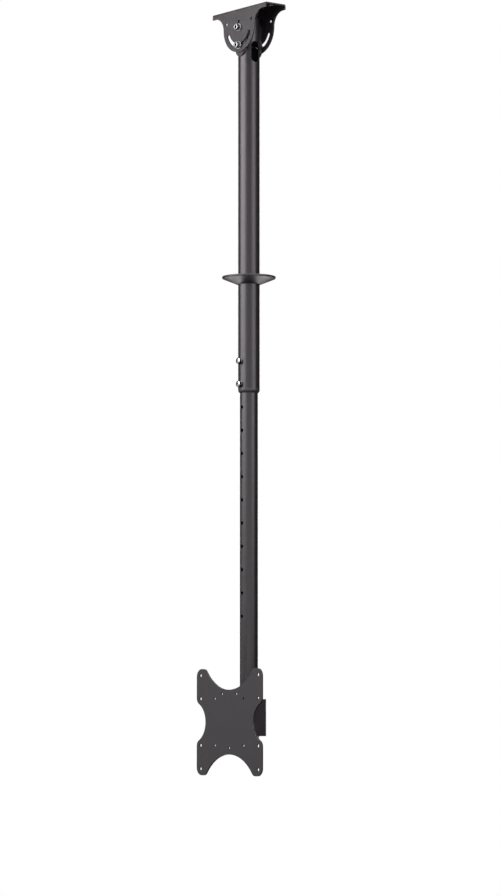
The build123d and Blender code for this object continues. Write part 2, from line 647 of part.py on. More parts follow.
# Turning stud on the plate's back, with the friction disc, washer and nut that clamp it to the bracket
with BuildPart() as pivot_stud:
    stud_length = FRICTION_DISC_THICK + SHEET + REAR_WASHER_THICK + STUD_NUT_HEIGHT + STUD_TIP_SHOW
    with BuildSketch(seat_at(REAR, 0, PLATE_REAR_Y, -TILT_DROP)):
        Circle(STUD_R)
    extrude(amount=stud_length)
    chamfer(faces().sort_by(Axis.Y)[-1].edges(), BOLT_TIP_CHAMFER)

stud_bore = STUD_R + FIXED_CLEARANCE
rotation_friction_disc = washer(
    seat_at(REAR, 0, PLATE_REAR_Y, -TILT_DROP), FRICTION_DISC_R, stud_bore, FRICTION_DISC_THICK
)
rear_seat = seat_at(REAR, 0, BASE_REAR_Y, -TILT_DROP)
rotation_washer = washer(rear_seat, REAR_WASHER_R, stud_bore, REAR_WASHER_THICK)
with BuildPart() as rotation_nut:
    nut_seat = rear_seat.offset(REAR_WASHER_THICK)
    add(hexagon(nut_seat, STUD_NUT_FLATS, STUD_NUT_HEIGHT))
    with BuildSketch(nut_seat):
        Circle(stud_bore)
    extrude(amount=STUD_NUT_HEIGHT, mode=Mode.SUBTRACT)

pieces = {
    "ceiling_bracket": ceiling_bracket.part,
    "outer_tube": outer_tube.part,
    "front_saddle": saddle(1),
    "rear_saddle": saddle(-1),
    **cross_parts,
    "ceiling_cover": ceiling_cover.part,
    "tube_end_collar": tube_end_collar.part,
    "lock_screws": Compound(lock_screw_parts),
    "lock_washers": Compound(lock_washer_parts),
    "inner_tube": inner_tube.part,
    "top_guide_ring": top_guide_ring.part,
    "tube_end_plug": tube_end_plug.part,
    "retaining_disc": retaining_disc.part,
    "retaining_bolt": retaining_bolt,
    "swivel_yoke": swivel_yoke.part,
    "upper_swivel_bush": swivel_bush(seat_at((0, 0, 1), 0, 0, YOKE_TOP)),
    "lower_swivel_bush": swivel_bush(seat_at((0, 0, -1), 0, 0, YOKE_FOOT)),
    "swivel_stop_pin": swivel_stop_pin.part,
    "tilt_bracket": tilt_bracket.part,
    **{name: Compound(solids) for name, solids in tilt_sets.items()},
    "screen_plate": screen_plate.part,
    "pivot_stud": pivot_stud.part,
    "rotation_friction_disc": rotation_friction_disc,
    "rotation_washer": rotation_washer,
    "rotation_nut": rotation_nut.part,
}

os.makedirs("parts", exist_ok=True)
for name, piece in pieces.items():
    piece.label = name
    export_step(piece, f"parts/{name}.step")
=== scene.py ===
"""Dresses a telescopic ceiling mount for a flat screen.

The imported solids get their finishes, and the screws, nuts and washers are made anew with knurls, threads and
rounded edges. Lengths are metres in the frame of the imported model: +Z up, the screen plate faces -Y.
"""

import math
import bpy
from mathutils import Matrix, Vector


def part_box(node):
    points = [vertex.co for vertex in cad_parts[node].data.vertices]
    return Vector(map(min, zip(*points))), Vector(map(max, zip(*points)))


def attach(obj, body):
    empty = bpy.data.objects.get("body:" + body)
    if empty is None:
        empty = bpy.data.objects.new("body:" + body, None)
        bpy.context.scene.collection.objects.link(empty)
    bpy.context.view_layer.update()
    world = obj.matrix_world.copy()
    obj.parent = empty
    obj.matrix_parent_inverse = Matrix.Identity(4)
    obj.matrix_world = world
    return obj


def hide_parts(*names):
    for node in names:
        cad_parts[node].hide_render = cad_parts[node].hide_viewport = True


bl_info = {
    "name": "Ceiling Mount Dresser",
    "version": (1, 0, 0),
    "blender": (4, 5, 0),
    "location": "View3D > Sidebar > Ceiling Mount",
    "description": "Finishes, fasteners and studio for a telescopic ceiling mount",
    "category": "Object",
}

import bpy
import numpy as np

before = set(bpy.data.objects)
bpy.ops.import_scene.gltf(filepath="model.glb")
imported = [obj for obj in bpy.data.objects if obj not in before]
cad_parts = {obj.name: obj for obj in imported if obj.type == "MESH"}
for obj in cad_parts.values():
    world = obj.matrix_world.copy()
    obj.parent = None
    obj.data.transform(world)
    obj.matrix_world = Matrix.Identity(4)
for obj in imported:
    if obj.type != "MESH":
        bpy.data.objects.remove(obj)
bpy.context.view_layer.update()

MM = 0.001
ACROSS, FORWARD, BACK, UP, DOWN = (1, 0, 0), (0, -1, 0), (0, 1, 0), (0, 0, 1), (0, 0, -1)

STEEL_NODES = (
    "ceiling_bracket", "outer_tube", "front_saddle", "rear_saddle", "inner_tube", "retaining_disc",
    "swivel_yoke", "tilt_bracket", "screen_plate",
)
NYLON_NODES = (
    "ceiling_cover", "tube_end_collar", "top_guide_ring", "tube_end_plug", "upper_swivel_bush",
    "lower_swivel_bush", "tilt_friction_washers", "rotation_friction_disc",
)
POLE_NODES = ("outer_tube", "inner_tube", "ceiling_cover", "tube_end_collar")

# Shank radius and pitch of the metric threads.
M6 = 3 * MM, 1 * MM
M8 = 4 * MM, 1.25 * MM
M10 = 5 * MM, 1.5 * MM
BORE_SPARE = 0.05 * MM
THREAD_ROWS = 6

# Bevels that tools leave on the edges of a fastener.
EDGE_BREAK = 0.3 * MM
FOOT_BEVEL = 0.4 * MM
FINE_BREAK = 0.1 * MM
NUT_SINK = 0.6 * MM
# Flare of a socket's mouth over the hexagon's corners, and taper of its wall at the floor.
SOCKET_FLARE, SOCKET_TAPER = 1.03, 0.97
# A lock nut's collar is rolled in over a share of its height, up to a limit.
ROLLED_SHARE, ROLLED_LIMIT = 0.7, 1.2 * MM
# Share of the turning stud that has no thread.
STUD_ROOT = 0.3
HEXAGON_CONE = math.radians(30)
CREASE = math.radians(32)
QUARTER = np.linspace(0, np.pi / 2, 5)[:, None]
# Steps round a hexagon, a plain ring, the sections of the two kinds of washer, and the floor.
HEXAGON_STEPS, RING_STEPS, FLAT_STEPS, SPRING_STEPS, FLOOR_STEPS = 96, 72, 24, 20, 96
# Points nearer than this lie on one circle.
NEAR = 0.01 * MM


def linear(code):
    """Linear colour with alpha from an sRGB hex code."""
    srgb = np.array([int(code[i:i + 2], 16) for i in (1, 3, 5)]) / 255
    value = np.where(srgb <= 0.04045, srgb / 12.92, ((srgb + 0.055) / 1.055) ** 2.4)
    return (*value.tolist(), 1.0)


class MountFinishes(bpy.types.PropertyGroup):
    """Colours and surface grain of the mount's three finishes"""

    powder_colour: bpy.props.FloatVectorProperty(
        name="Powder coat", description="Colour of the satin powder coat on the steel",
        subtype="COLOR", size=4, min=0, max=1, default=linear("#1f1c1f"))
    # Painted highlight: this lighter colour is mixed in at cut edges, partly for the thinner coat and partly
    # for the light a rounded edge catches; it also tints the clouds of coat thickness.
    powder_thin_and_edge_highlight: bpy.props.FloatVectorProperty(
        name="Thin powder coat", description="Colour where the coat has drawn back from a cut edge",
        subtype="COLOR", size=4, min=0, max=1, default=linear("#2e2b2e"))
    powder_gloss: bpy.props.FloatVectorProperty(
        name="Black gloss", description="Tint of the light that the powder coat and the nylon reflect",
        subtype="COLOR", size=4, min=0, max=1, default=linear("#fff7fb"))
    peel_width: bpy.props.FloatProperty(
        name="Orange peel", description="Width of the ripples that the powder leaves as it melts",
        unit="LENGTH", default=1.8 * MM, min=0.2 * MM, max=10 * MM)
    edge_round: bpy.props.FloatProperty(
        name="Coated edge", description="Radius that the coat gives to the cut edges of the sheet",
        unit="LENGTH", default=0.5 * MM, min=0.05 * MM, max=2 * MM)
    nickel_colour: bpy.props.FloatVectorProperty(
        name="Nickel plating", description="Colour of the plated screws, nuts and washers",
        subtype="COLOR", size=4, min=0, max=1, default=linear("#a3a3a4"))
    nickel_dull: bpy.props.FloatVectorProperty(
        name="Dull plating", description="Colour of the plating where it has gone dull",
        subtype="COLOR", size=4, min=0, max=1, default=linear("#747475"))
    # Painted shade: the colour that sockets and the flats of heads are painted with.
    nickel_painted_shade: bpy.props.FloatVectorProperty(
        name="Dark plating", description="Colour of the plating in sockets and on the flats of a head",
        subtype="COLOR", size=4, min=0, max=1, default=linear("#1c1b1c"))
    nylon_colour: bpy.props.FloatVectorProperty(
        name="Nylon", description="Colour of the moulded nylon",
        subtype="COLOR", size=4, min=0, max=1, default=linear("#2f2b2f"))
    nylon_grain: bpy.props.FloatProperty(
        name="Mould grain", description="Width of the grain that the eroded mould leaves on the nylon",
        unit="LENGTH", default=0.8 * MM, min=0.1 * MM, max=5 * MM)


class MountFasteners(bpy.types.PropertyGroup):
    """Sizes of the screws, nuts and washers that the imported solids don't show"""

    knurl_ridges: bpy.props.IntProperty(
        name="Knurl ridges", description="Ridges round the head of a socket screw",
        default=36, min=12, max=72)
    knurl_depth: bpy.props.FloatProperty(
        name="Knurl depth", description="Depth of the grooves between the ridges",
        unit="LENGTH", default=0.28 * MM, min=0, max=1 * MM)
    head_round: bpy.props.FloatProperty(
        name="Head round", description="Radius round the top edge of a socket screw's head",
        unit="LENGTH", default=0.8 * MM, min=0.1 * MM, max=3 * MM)
    thread_depth: bpy.props.FloatProperty(
        name="Thread depth", description="Depth of a thread as a share of its pitch",
        subtype="FACTOR", default=0.6, min=0.1, max=0.9)
    hexagon_face: bpy.props.FloatProperty(
        name="Hexagon face", description="Width of a hexagon's round end face as a share of its flats' width",
        subtype="FACTOR", default=0.95, min=0.6, max=1)
    spring_rise: bpy.props.FloatProperty(
        name="Spring washer rise", description="Height between the two ends of a split washer",
        unit="LENGTH", default=0.3 * MM, min=0, max=2 * MM)
    spring_gap: bpy.props.FloatProperty(
        name="Spring washer gap", description="Angle between the two ends of a split washer",
        subtype="ANGLE", default=math.radians(12), min=0, max=math.radians(60))


class MountStudio(bpy.types.PropertyGroup):
    """Camera, lights and floor"""

    camera_azimuth: bpy.props.FloatProperty(
        name="Camera azimuth", description="Turn of the camera from the screen's front towards +X",
        subtype="ANGLE", default=math.radians(52))
    camera_distance: bpy.props.FloatProperty(
        name="Camera distance", description="Distance of the camera from the pole",
        unit="LENGTH", default=7.3, min=1)
    camera_height: bpy.props.FloatProperty(
        name="Camera height", description="Height of the camera in the packed frame",
        unit="LENGTH", default=-1.545)
    camera_pitch: bpy.props.FloatProperty(
        name="Camera pitch", description="Upward tilt of the camera",
        subtype="ANGLE", default=math.radians(4.609))
    camera_turn: bpy.props.FloatProperty(
        name="Camera turn", description="Sideways turn of the camera from the pole's axis",
        subtype="ANGLE", default=math.radians(-0.0185))
    camera_lens: bpy.props.FloatProperty(
        name="Lens", description="Focal length of the camera", unit="CAMERA", default=136.6, min=20)
    key_power: bpy.props.FloatProperty(
        name="Key light", description="Power of the wide softbox in front of the bracket",
        unit="POWER", default=182)
    side_power: bpy.props.FloatProperty(
        name="Side light", description="Power of the softbox beside the pole", unit="POWER", default=74)
    fill_power: bpy.props.FloatProperty(
        name="Fill light", description="Power of the large dim softbox on the camera's side",
        unit="POWER", default=70)
    floor_power: bpy.props.FloatProperty(
        name="Floor light", description="Power of the softbox above the mount that brightens the floor",
        unit="POWER", default=100)
    card_power: bpy.props.FloatProperty(
        name="Card", description="Power of the reflector card that lights the cover from below",
        unit="POWER", default=24)
    rear_power: bpy.props.FloatProperty(
        name="Rear light", description="Power of the softbox behind the screen plate",
        unit="POWER", default=60)
    strip_power: bpy.props.FloatProperty(
        name="Strip light", description="Power of the tall softbox that lights the back of the pole",
        unit="POWER", default=64)
    plate_power: bpy.props.FloatProperty(
        name="Plate light", description="Power of the small softbox that the screen plate reflects",
        unit="POWER", default=6)
    room_light: bpy.props.FloatProperty(
        name="Room light", description="Strength of the even light from all round", default=0.02, min=0)
    floor_height: bpy.props.FloatProperty(
        name="Floor height", description="Height of the floor in the packed frame",
        unit="LENGTH", default=-2.35)
    floor_radius: bpy.props.FloatProperty(
        name="Floor radius", description="Radius of the round floor", unit="LENGTH", default=2.3, min=0.1)
    floor_colour: bpy.props.FloatVectorProperty(
        name="Floor", description="Colour of the pale floor",
        subtype="COLOR", size=4, min=0, max=1, default=linear("#f2f1ee"))


def add_node(tree, kind, inputs=None, **settings):
    """Adds one shader node; inputs takes values or the sockets that feed it."""
    node = tree.nodes.new(kind)
    for key, value in settings.items():
        setattr(node, key, value)
    for key, value in (inputs or {}).items():
        if isinstance(value, bpy.types.NodeSocket):
            tree.links.new(value, node.inputs[key])
        else:
            node.inputs[key].default_value = value
    return node


def new_material(name):
    """An empty node material with its output; returns it, its tree and the output node."""
    material = bpy.data.materials.new(name)
    material.use_nodes = True
    material.node_tree.nodes.clear()
    output = add_node(material.node_tree, "ShaderNodeOutputMaterial")
    return material, material.node_tree, output


def satin_powder_coat(finishes):
    """Polyester powder coat, sprayed dry on steel sheet and tube and melted in an oven.

    It gives a dark satin skin with fine orange-peel ripples, clouds of slightly more or less gloss where the
    coat is thicker, and softly rounded cut edges, where it draws back; the edges are also painted lighter as a
    highlight.
    """
    cloud_width, peel_height = 30 * MM, 0.15 * MM
    material, tree, output = new_material("satin_powder_coat")
    place = add_node(tree, "ShaderNodeTexCoord").outputs["Object"]
    # The ripples are a little under a pixel wide in the main view and show in closer ones.
    peel = add_node(tree, "ShaderNodeTexNoise", {
        "Vector": place, "Scale": 1 / finishes.peel_width, "Detail": 2.0, "Roughness": 0.45})
    # Clouds of coat thickness.
    cloud = add_node(tree, "ShaderNodeTexNoise", {
        "Vector": place, "Scale": 1 / cloud_width, "Detail": 4.0, "Roughness": 0.6})
    # A face leans away from its rounded normal only near a cut edge.
    rounded = add_node(tree, "ShaderNodeBevel", {"Radius": finishes.edge_round}, samples=6)
    face = add_node(tree, "ShaderNodeNewGeometry")
    along = add_node(tree, "ShaderNodeVectorMath", {
        0: rounded.outputs["Normal"], 1: face.outputs["Normal"]}, operation="DOT_PRODUCT")
    # Painted highlight: cut edges are mixed towards the lighter colour, partly for the thinner coat there and
    # partly for the light that a rounded edge catches.
    edge = add_node(tree, "ShaderNodeMapRange", {
        "Value": along.outputs["Value"], "From Min": 0.995, "From Max": 0.9, "To Min": 0.0, "To Max": 0.6})
    tone = add_node(tree, "ShaderNodeMapRange", {
        "Value": cloud.outputs["Fac"], "From Min": 0.3, "From Max": 0.7, "To Min": 0.0, "To Max": 0.22})
    thin_coat_and_highlight = add_node(tree, "ShaderNodeMath", {
        0: edge.outputs["Result"], 1: tone.outputs["Result"]}, operation="ADD", use_clamp=True)
    colour = add_node(tree, "ShaderNodeMix", {
        0: thin_coat_and_highlight.outputs["Value"], 6: finishes.powder_colour, 7: finishes.powder_thin_and_edge_highlight}, data_type="RGBA")
    # The crests of the ripples are smoother than the pits between them.
    pits = add_node(tree, "ShaderNodeMapRange", {
        "Value": peel.outputs["Fac"], "From Min": 0.3, "From Max": 0.7, "To Min": 0.04, "To Max": -0.04})
    thick = add_node(tree, "ShaderNodeMapRange", {
        "Value": cloud.outputs["Fac"], "From Min": 0.3, "From Max": 0.7, "To Min": 0.35, "To Max": 0.41})
    gloss = add_node(tree, "ShaderNodeMath", {
        0: thick.outputs["Result"], 1: pits.outputs["Result"]}, operation="ADD")
    ripple = add_node(tree, "ShaderNodeBump", {
        "Height": peel.outputs["Fac"], "Distance": peel_height, "Strength": 0.28,
        "Normal": rounded.outputs["Normal"]})
    coat = add_node(tree, "ShaderNodeBsdfPrincipled", {
        "Base Color": colour.outputs[2], "Roughness": gloss.outputs["Value"], "IOR": 1.5,
        "Specular Tint": finishes.powder_gloss, "Normal": ripple.outputs["Normal"]})
    tree.links.new(coat.outputs["BSDF"], output.inputs["Surface"])
    return material


def barrel_nickel(finishes):
    """Steel fasteners, turned or stamped and barrel-plated with nickel.

    The barrel leaves a bright but slightly uneven skin: clouds of duller metal and faint fine scratches. Shade
    is painted into the plating's colour in the sockets and on the flats of the heads.
    """
    cloud_width, mark_width, mark_depth = 4 * MM, 0.5 * MM, 0.03 * MM
    material, tree, output = new_material("barrel_nickel")
    place = add_node(tree, "ShaderNodeTexCoord").outputs["Object"]
    cloud = add_node(tree, "ShaderNodeTexNoise", {
        "Vector": place, "Scale": 1 / cloud_width, "Detail": 4.0, "Roughness": 0.6})
    # Tumbling marks, drawn coarser than the real hairlines so that they show.
    marks = add_node(tree, "ShaderNodeTexNoise", {
        "Vector": place, "Scale": 1 / mark_width, "Detail": 2.0, "Roughness": 0.5})
    dull = add_node(tree, "ShaderNodeMapRange", {
        "Value": cloud.outputs["Fac"], "From Min": 0.45, "From Max": 0.75, "To Min": 0.0, "To Max": 0.6})
    rubbed = add_node(tree, "ShaderNodeMix", {
        0: dull.outputs["Result"], 6: finishes.nickel_colour, 7: finishes.nickel_dull}, data_type="RGBA")
    # Painted shade: a share per vertex, 1 in sockets and on the flats of heads, mixes the colour towards the
    # dark shade colour.
    dark = add_node(tree, "ShaderNodeAttribute", attribute_name="painted_shade_share")
    colour = add_node(tree, "ShaderNodeMix", {
        0: dark.outputs["Fac"], 6: rubbed.outputs[2], 7: finishes.nickel_painted_shade}, data_type="RGBA")
    gloss = add_node(tree, "ShaderNodeMapRange", {
        "Value": cloud.outputs["Fac"], "From Min": 0.3, "From Max": 0.75, "To Min": 0.2, "To Max": 0.36})
    tumbled = add_node(tree, "ShaderNodeBump", {
        "Height": marks.outputs["Fac"], "Distance": mark_depth, "Strength": 0.2})
    plate = add_node(tree, "ShaderNodeBsdfPrincipled", {
        "Base Color": colour.outputs[2], "Roughness": gloss.outputs["Result"], "Metallic": 1.0,
        "Normal": tumbled.outputs["Normal"]})
    tree.links.new(plate.outputs["BSDF"], output.inputs["Surface"])
    return material


def moulded_nylon(finishes):
    """Black nylon, injection moulded in an eroded steel mould.

    It gives a dull, faintly grained skin that is a little glossier where the melt met the mould hot.
    """
    flow_width, grain_depth = 25 * MM, 0.1 * MM
    material, tree, output = new_material("moulded_nylon")
    place = add_node(tree, "ShaderNodeTexCoord").outputs["Object"]
    # The mould's grain is drawn coarser than the real 0.2 mm so that it shows in a close view.
    grain = add_node(tree, "ShaderNodeTexNoise", {
        "Vector": place, "Scale": 1 / finishes.nylon_grain, "Detail": 3.0, "Roughness": 0.6})
    # Clouds left by the flow of the melt.
    flow = add_node(tree, "ShaderNodeTexNoise", {
        "Vector": place, "Scale": 1 / flow_width, "Detail": 2.0, "Distortion": 0.6})
    gloss = add_node(tree, "ShaderNodeMapRange", {
        "Value": flow.outputs["Fac"], "From Min": 0.3, "From Max": 0.7, "To Min": 0.36, "To Max": 0.46})
    tone = add_node(tree, "ShaderNodeMapRange", {
        "Value": grain.outputs["Fac"], "From Min": 0.3, "From Max": 0.7, "To Min": 0.9, "To Max": 1.1})
    colour = add_node(tree, "ShaderNodeVectorMath", {
        0: finishes.nylon_colour[:3], 3: tone.outputs["Result"]}, operation="SCALE")
    grained = add_node(tree, "ShaderNodeBump", {
        "Height": grain.outputs["Fac"], "Distance": grain_depth, "Strength": 0.5})
    nylon = add_node(tree, "ShaderNodeBsdfPrincipled", {
        "Base Color": colour.outputs["Vector"], "Roughness": gloss.outputs["Result"], "IOR": 1.53,
        "Specular Tint": finishes.powder_gloss, "Normal": grained.outputs["Normal"]})
    tree.links.new(nylon.outputs["BSDF"], output.inputs["Surface"])
    return material


def painted_floor(colour):
    """Pale matt floor paint, rolled on, with a faint unevenness of gloss.

    The sheet has no underside, so the mount can be looked at from below.
    """
    roller_cloud = 80 * MM
    material, tree, output = new_material("painted_floor")
    place = add_node(tree, "ShaderNodeTexCoord").outputs["Object"]
    roll = add_node(tree, "ShaderNodeTexNoise", {"Vector": place, "Scale": 1 / roller_cloud, "Detail": 2.0})
    gloss = add_node(tree, "ShaderNodeMapRange", {
        "Value": roll.outputs["Fac"], "To Min": 0.75, "To Max": 0.9})
    paint = add_node(tree, "ShaderNodeBsdfPrincipled", {
        "Base Color": colour, "Roughness": gloss.outputs["Result"]})
    under = add_node(tree, "ShaderNodeNewGeometry").outputs["Backfacing"]
    clear = add_node(tree, "ShaderNodeBsdfTransparent")
    sheet = add_node(tree, "ShaderNodeMixShader", {
        0: under, 1: paint.outputs["BSDF"], 2: clear.outputs["BSDF"]})
    tree.links.new(sheet.outputs["Shader"], output.inputs["Surface"])
    return material


def finish(name, recipe):
    """The named material, made with its recipe the first time it is asked for."""
    return bpy.data.materials.get(name) or recipe(bpy.context.scene.mount_finishes)


def coat_nodes(nodes, material):
    """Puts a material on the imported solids."""
    for node in nodes:
        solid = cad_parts[node]
        solid.data.materials.clear()
        solid.data.materials.append(material)


def full_turn(count):
    """Even angles round one turn, without its end."""
    return np.linspace(0, 2 * np.pi, count, endpoint=False)


def hexagon(angles, flats):
    """Polar radius of a hexagon: half its width over the cosine of the angle to the nearest flat's middle."""
    return flats / 2 / np.cos((angles + np.pi / 6) % (np.pi / 3) - np.pi / 6)


def hexagon_end(angles, flats, sizes):
    """Polar radius of a hexagon, radius of its round end face, and the drop of the cone between the two."""
    side = hexagon(angles, flats)
    face = flats / 2 * sizes.hexagon_face
    return side, face, (side - face) * math.tan(HEXAGON_CONE)


def thread(angles, size, top, foot, sizes):
    """Rows of a screw thread from its top to its foot.

    The radius falls from the crest by a triangle wave of the height in pitches plus the turn, so a ridge
    climbs one pitch in each turn. The groove fades in over the first pitch and the last crest is chamfered.
    """
    radius, pitch = size
    depth = sizes.thread_depth * pitch
    rows = THREAD_ROWS * math.ceil((top - foot) / pitch) + 1
    height = np.linspace(top, foot, rows)[:, None]
    wave = 1 - np.abs(2 * ((height / pitch + angles / (2 * np.pi)) % 1) - 1)
    fade = np.clip((top - height) / pitch, 0, 1)
    return np.minimum(radius - depth * fade * wave, radius - depth + height - foot), height


def bore(size):
    """Radius of the hole that a screw passes through."""
    return size[0] + BORE_SPARE


def turned(seat, angles, rows):
    """Points of a shape turned about a seat's axis: each row gives radius and height over the angles.

    A seat is an origin, an axis and the direction of angle 0.
    """
    origin, axis, side = (np.array(v, float) for v in seat)
    cells = [np.broadcast_arrays(np.atleast_2d(r), np.atleast_2d(h), angles[None])[:2] for r, h in rows]
    radius = np.vstack([c[0] for c in cells])[..., None]
    height = np.vstack([c[1] for c in cells])[..., None]
    across = np.cross(axis, side)
    spoke = np.cos(angles)[:, None] * side + np.sin(angles)[:, None] * across
    return origin + height * axis + radius * spoke


def skin(points, ring=False):
    """Closed faces over a grid of points whose columns meet end to end.

    The rows meet end to end too on a ring; otherwise the first and the last row are one point each. Returns
    vertices, faces and a share of painted shade for each vertex, here none.
    """
    rows, columns = points.shape[:2]
    index = np.arange(rows * columns).reshape(rows, columns)
    if not ring:
        index[0], index[-1] = index[0, 0], index[-1, 0]
    upper = index if ring else index[:-1]
    lower = np.roll(index, -1, axis=0) if ring else index[1:]
    quads = np.stack([upper, np.roll(upper, -1, axis=1), np.roll(lower, -1, axis=1), lower], axis=-1)
    if ring:
        faces = [quads.reshape(-1, 4)]
    else:
        faces = [quads[0][:, [0, 2, 3]], quads[1:-1].reshape(-1, 4), quads[-1][:, [0, 1, 2]]]
    used, flat = np.unique(np.concatenate([f.ravel() for f in faces]), return_inverse=True)
    ends = np.cumsum([f.size for f in faces])[:-1]
    faces = [part.reshape(-1, f.shape[1]) for part, f in zip(np.split(flat, ends), faces)]
    vertices = points.reshape(-1, 3)[used]
    # The signed volume under the faces is negative where they point inwards.
    corners = np.vstack([f[:, [0, i, i + 1]] for f in faces for i in range(1, f.shape[1] - 1)])
    a, b, c = (vertices[corners[:, i]] for i in range(3))
    if np.einsum("ij,ij->", a, np.cross(b, c)) < 0:
        faces = [f[:, ::-1] for f in faces]
    return vertices, faces, np.zeros(len(vertices))


def seat_place(vertices, seat):
    """Height of points over a seat and their distance from its axis."""
    origin, axis, _ = (np.array(v, float) for v in seat)
    height = (vertices - origin) @ axis
    return height, np.linalg.norm(vertices - origin - height[:, None] * axis, axis=1)


def make_piece(name, skins, material, body, slot, *nodes):
    """One mesh from closed skins, with its sharp edges crisp; it rides on a body and stands for nodes."""
    starts = np.cumsum([0] + [len(vertices) for vertices, _, _ in skins])
    vertices = np.vstack([vertices for vertices, _, _ in skins])
    parts = [part + start for start, (_, faces, _) in zip(starts, skins) for part in faces]
    mesh = bpy.data.meshes.new(name)
    mesh.from_pydata(vertices.tolist(), [], [face for part in parts for face in part.tolist()])
    mesh.polygons.foreach_set("use_smooth", np.ones(len(mesh.polygons), bool))
    mesh.set_sharp_from_angle(angle=CREASE)
    # Painted shade: the share of shade painted into each vertex's colour.
    dark = mesh.attributes.new("painted_shade_share", "FLOAT", "POINT")
    dark.data.foreach_set("value", np.concatenate([shade for _, _, shade in skins]))
    mesh.materials.append(material)
    mesh.update()
    piece = bpy.data.objects.new(name, mesh)
    bpy.context.scene.collection.objects.link(piece)
    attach(piece, body)
    if nodes:
        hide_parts(*nodes)
    return piece


def socket_screw(seat, size, sizes, head_r, head_height, flats, socket_depth, length, threaded):
    """Socket screw, from the socket's floor over the head and down the shank to the tip.

    The socket's wall follows the hexagon's polar radius over a drilled point, the head's side is a circle
    less a cosine of as many waves as it has knurl ridges, and its top edge is a quarter circle.
    """
    angles = full_turn(4 * sizes.knurl_ridges)
    wall, mouth = hexagon(angles, flats), flats / math.sqrt(3) * SOCKET_FLARE
    floor, point = head_height - socket_depth, flats / 8
    crown, shoulder = sizes.head_round, head_height - sizes.head_round
    ridge = head_r - sizes.knurl_depth * (0.5 - 0.5 * np.cos(sizes.knurl_ridges * angles))
    foot, shank_r = head_r - FOOT_BEVEL, size[0]
    rows = [
        (0, floor - point),
        (wall * SOCKET_TAPER, floor),
        (wall, floor + FINE_BREAK),
        (wall, head_height - EDGE_BREAK),
        (mouth, head_height),
        (head_r - crown + crown * np.sin(QUARTER), shoulder + crown * np.cos(QUARTER)),
        (ridge, shoulder - EDGE_BREAK),
        (ridge, 2 * EDGE_BREAK),
        (foot, EDGE_BREAK),
        (foot - FINE_BREAK, 0),
        (shank_r + FOOT_BEVEL, 0),
        (shank_r, -FOOT_BEVEL),
        (shank_r, threaded - length),
        thread(angles, size, threaded - length, -length, sizes),
        (0, -length),
    ]
    vertices, faces, _ = skin(turned(seat, angles, rows))
    height, radius = seat_place(vertices, seat)
    # Painted shade on the socket's walls and floor.
    in_socket = (height > FINE_BREAK) & (radius < mouth - NEAR)
    return vertices, faces, in_socket.astype(float)


def hexagon_bolt(seat, size, sizes, flats, head_height, length, threaded):
    """Hexagon bolt: the head's flats meet a cone on its end face along their own curve."""
    angles = full_turn(HEXAGON_STEPS)
    side, face, drop = hexagon_end(angles, flats, sizes)
    shank_r = size[0]
    rows = [
        (0, head_height),
        (face, head_height),
        (side, head_height - drop),
        (side, EDGE_BREAK),
        (face, EDGE_BREAK),
        (face, 0),
        (shank_r, 0),
        (shank_r, threaded - length),
        thread(angles, size, threaded - length, -length, sizes),
        (0, -length),
    ]
    vertices, faces, _ = skin(turned(seat, angles, rows))
    # Painted shade on the head's flats.
    on_flats = seat_place(vertices, seat)[1] > face + NEAR
    return vertices, faces, on_flats.astype(float)


def hexagon_nut(seat, size, sizes, flats, height, collar_r=0, collar_height=0):
    """Hexagon nut with a cone on each end, a countersunk bore and, on a lock nut, a rolled collar."""
    angles = full_turn(HEXAGON_STEPS)
    side, face, drop = hexagon_end(angles, flats, sizes)
    rows = [(face, 0), (side, drop), (side, height - drop), (face, height)]
    end = height + collar_height
    if collar_height:
        lip = min(collar_height * ROLLED_SHARE, ROLLED_LIMIT)
        rows.append((collar_r, height))
        rows.append((collar_r - lip + lip * np.cos(QUARTER), end - lip + lip * np.sin(QUARTER)))
    hole = bore(size)
    rows += [(hole + NUT_SINK, end), (hole, end - NUT_SINK), (hole, NUT_SINK), (hole + NUT_SINK, 0)]
    return skin(turned(seat, angles, rows), ring=True)


def superellipse(count, power=6):
    """A rounded square: cosine and sine, each drawn towards its sign by the root of the given power."""
    angles = full_turn(count)
    c, s = np.cos(angles), np.sin(angles)
    return np.sign(c) * np.abs(c) ** (2 / power), np.sign(s) * np.abs(s) ** (2 / power)


def flat_washer(seat, outer_r, bore_r, thick):
    """Stamped washer: a rounded rectangle turned about the seat's axis."""
    across, along = superellipse(FLAT_STEPS)
    radius = (outer_r + bore_r) / 2 + (outer_r - bore_r) / 2 * across
    height = thick / 2 + thick / 2 * along
    return skin(turned(seat, full_turn(RING_STEPS), [(radius[:, None], height[:, None])]), ring=True)


def spring_washer(seat, outer_r, bore_r, thick, sizes):
    """Split washer: a rounded square section carried round an open circle that climbs from end to end."""
    origin, axis, side = (np.array(v, float) for v in seat)
    turn = np.linspace(sizes.spring_gap / 2, 2 * np.pi - sizes.spring_gap / 2, RING_STEPS + 1)[:, None]
    across, along = superellipse(SPRING_STEPS)
    radius = (outer_r + bore_r) / 2 + (outer_r - bore_r) / 2 * across
    climb = sizes.spring_rise * turn / (2 * np.pi)
    height = climb + (thick - sizes.spring_rise) / 2 * (1 + along)
    spoke = np.cos(turn)[..., None] * side + np.sin(turn)[..., None] * np.cross(axis, side)
    points = origin + height[..., None] * axis + radius[:, None] * spoke
    ends = [np.repeat(points[i].mean(axis=0)[None, None], points.shape[1], axis=1) for i in (0, -1)]
    return skin(np.concatenate([ends[0], points, ends[1]]))


def screw_stud(seat, size, sizes, length):
    """Stud: a plain root and a thread to its chamfered tip."""
    angles = full_turn(RING_STEPS)
    radius, root = size[0], STUD_ROOT * length
    rows = [
        (0, 0),
        (radius, 0),
        (radius, -root),
        thread(angles, size, -root, -length, sizes),
        (0, -length),
    ]
    return skin(turned(seat, angles, rows))


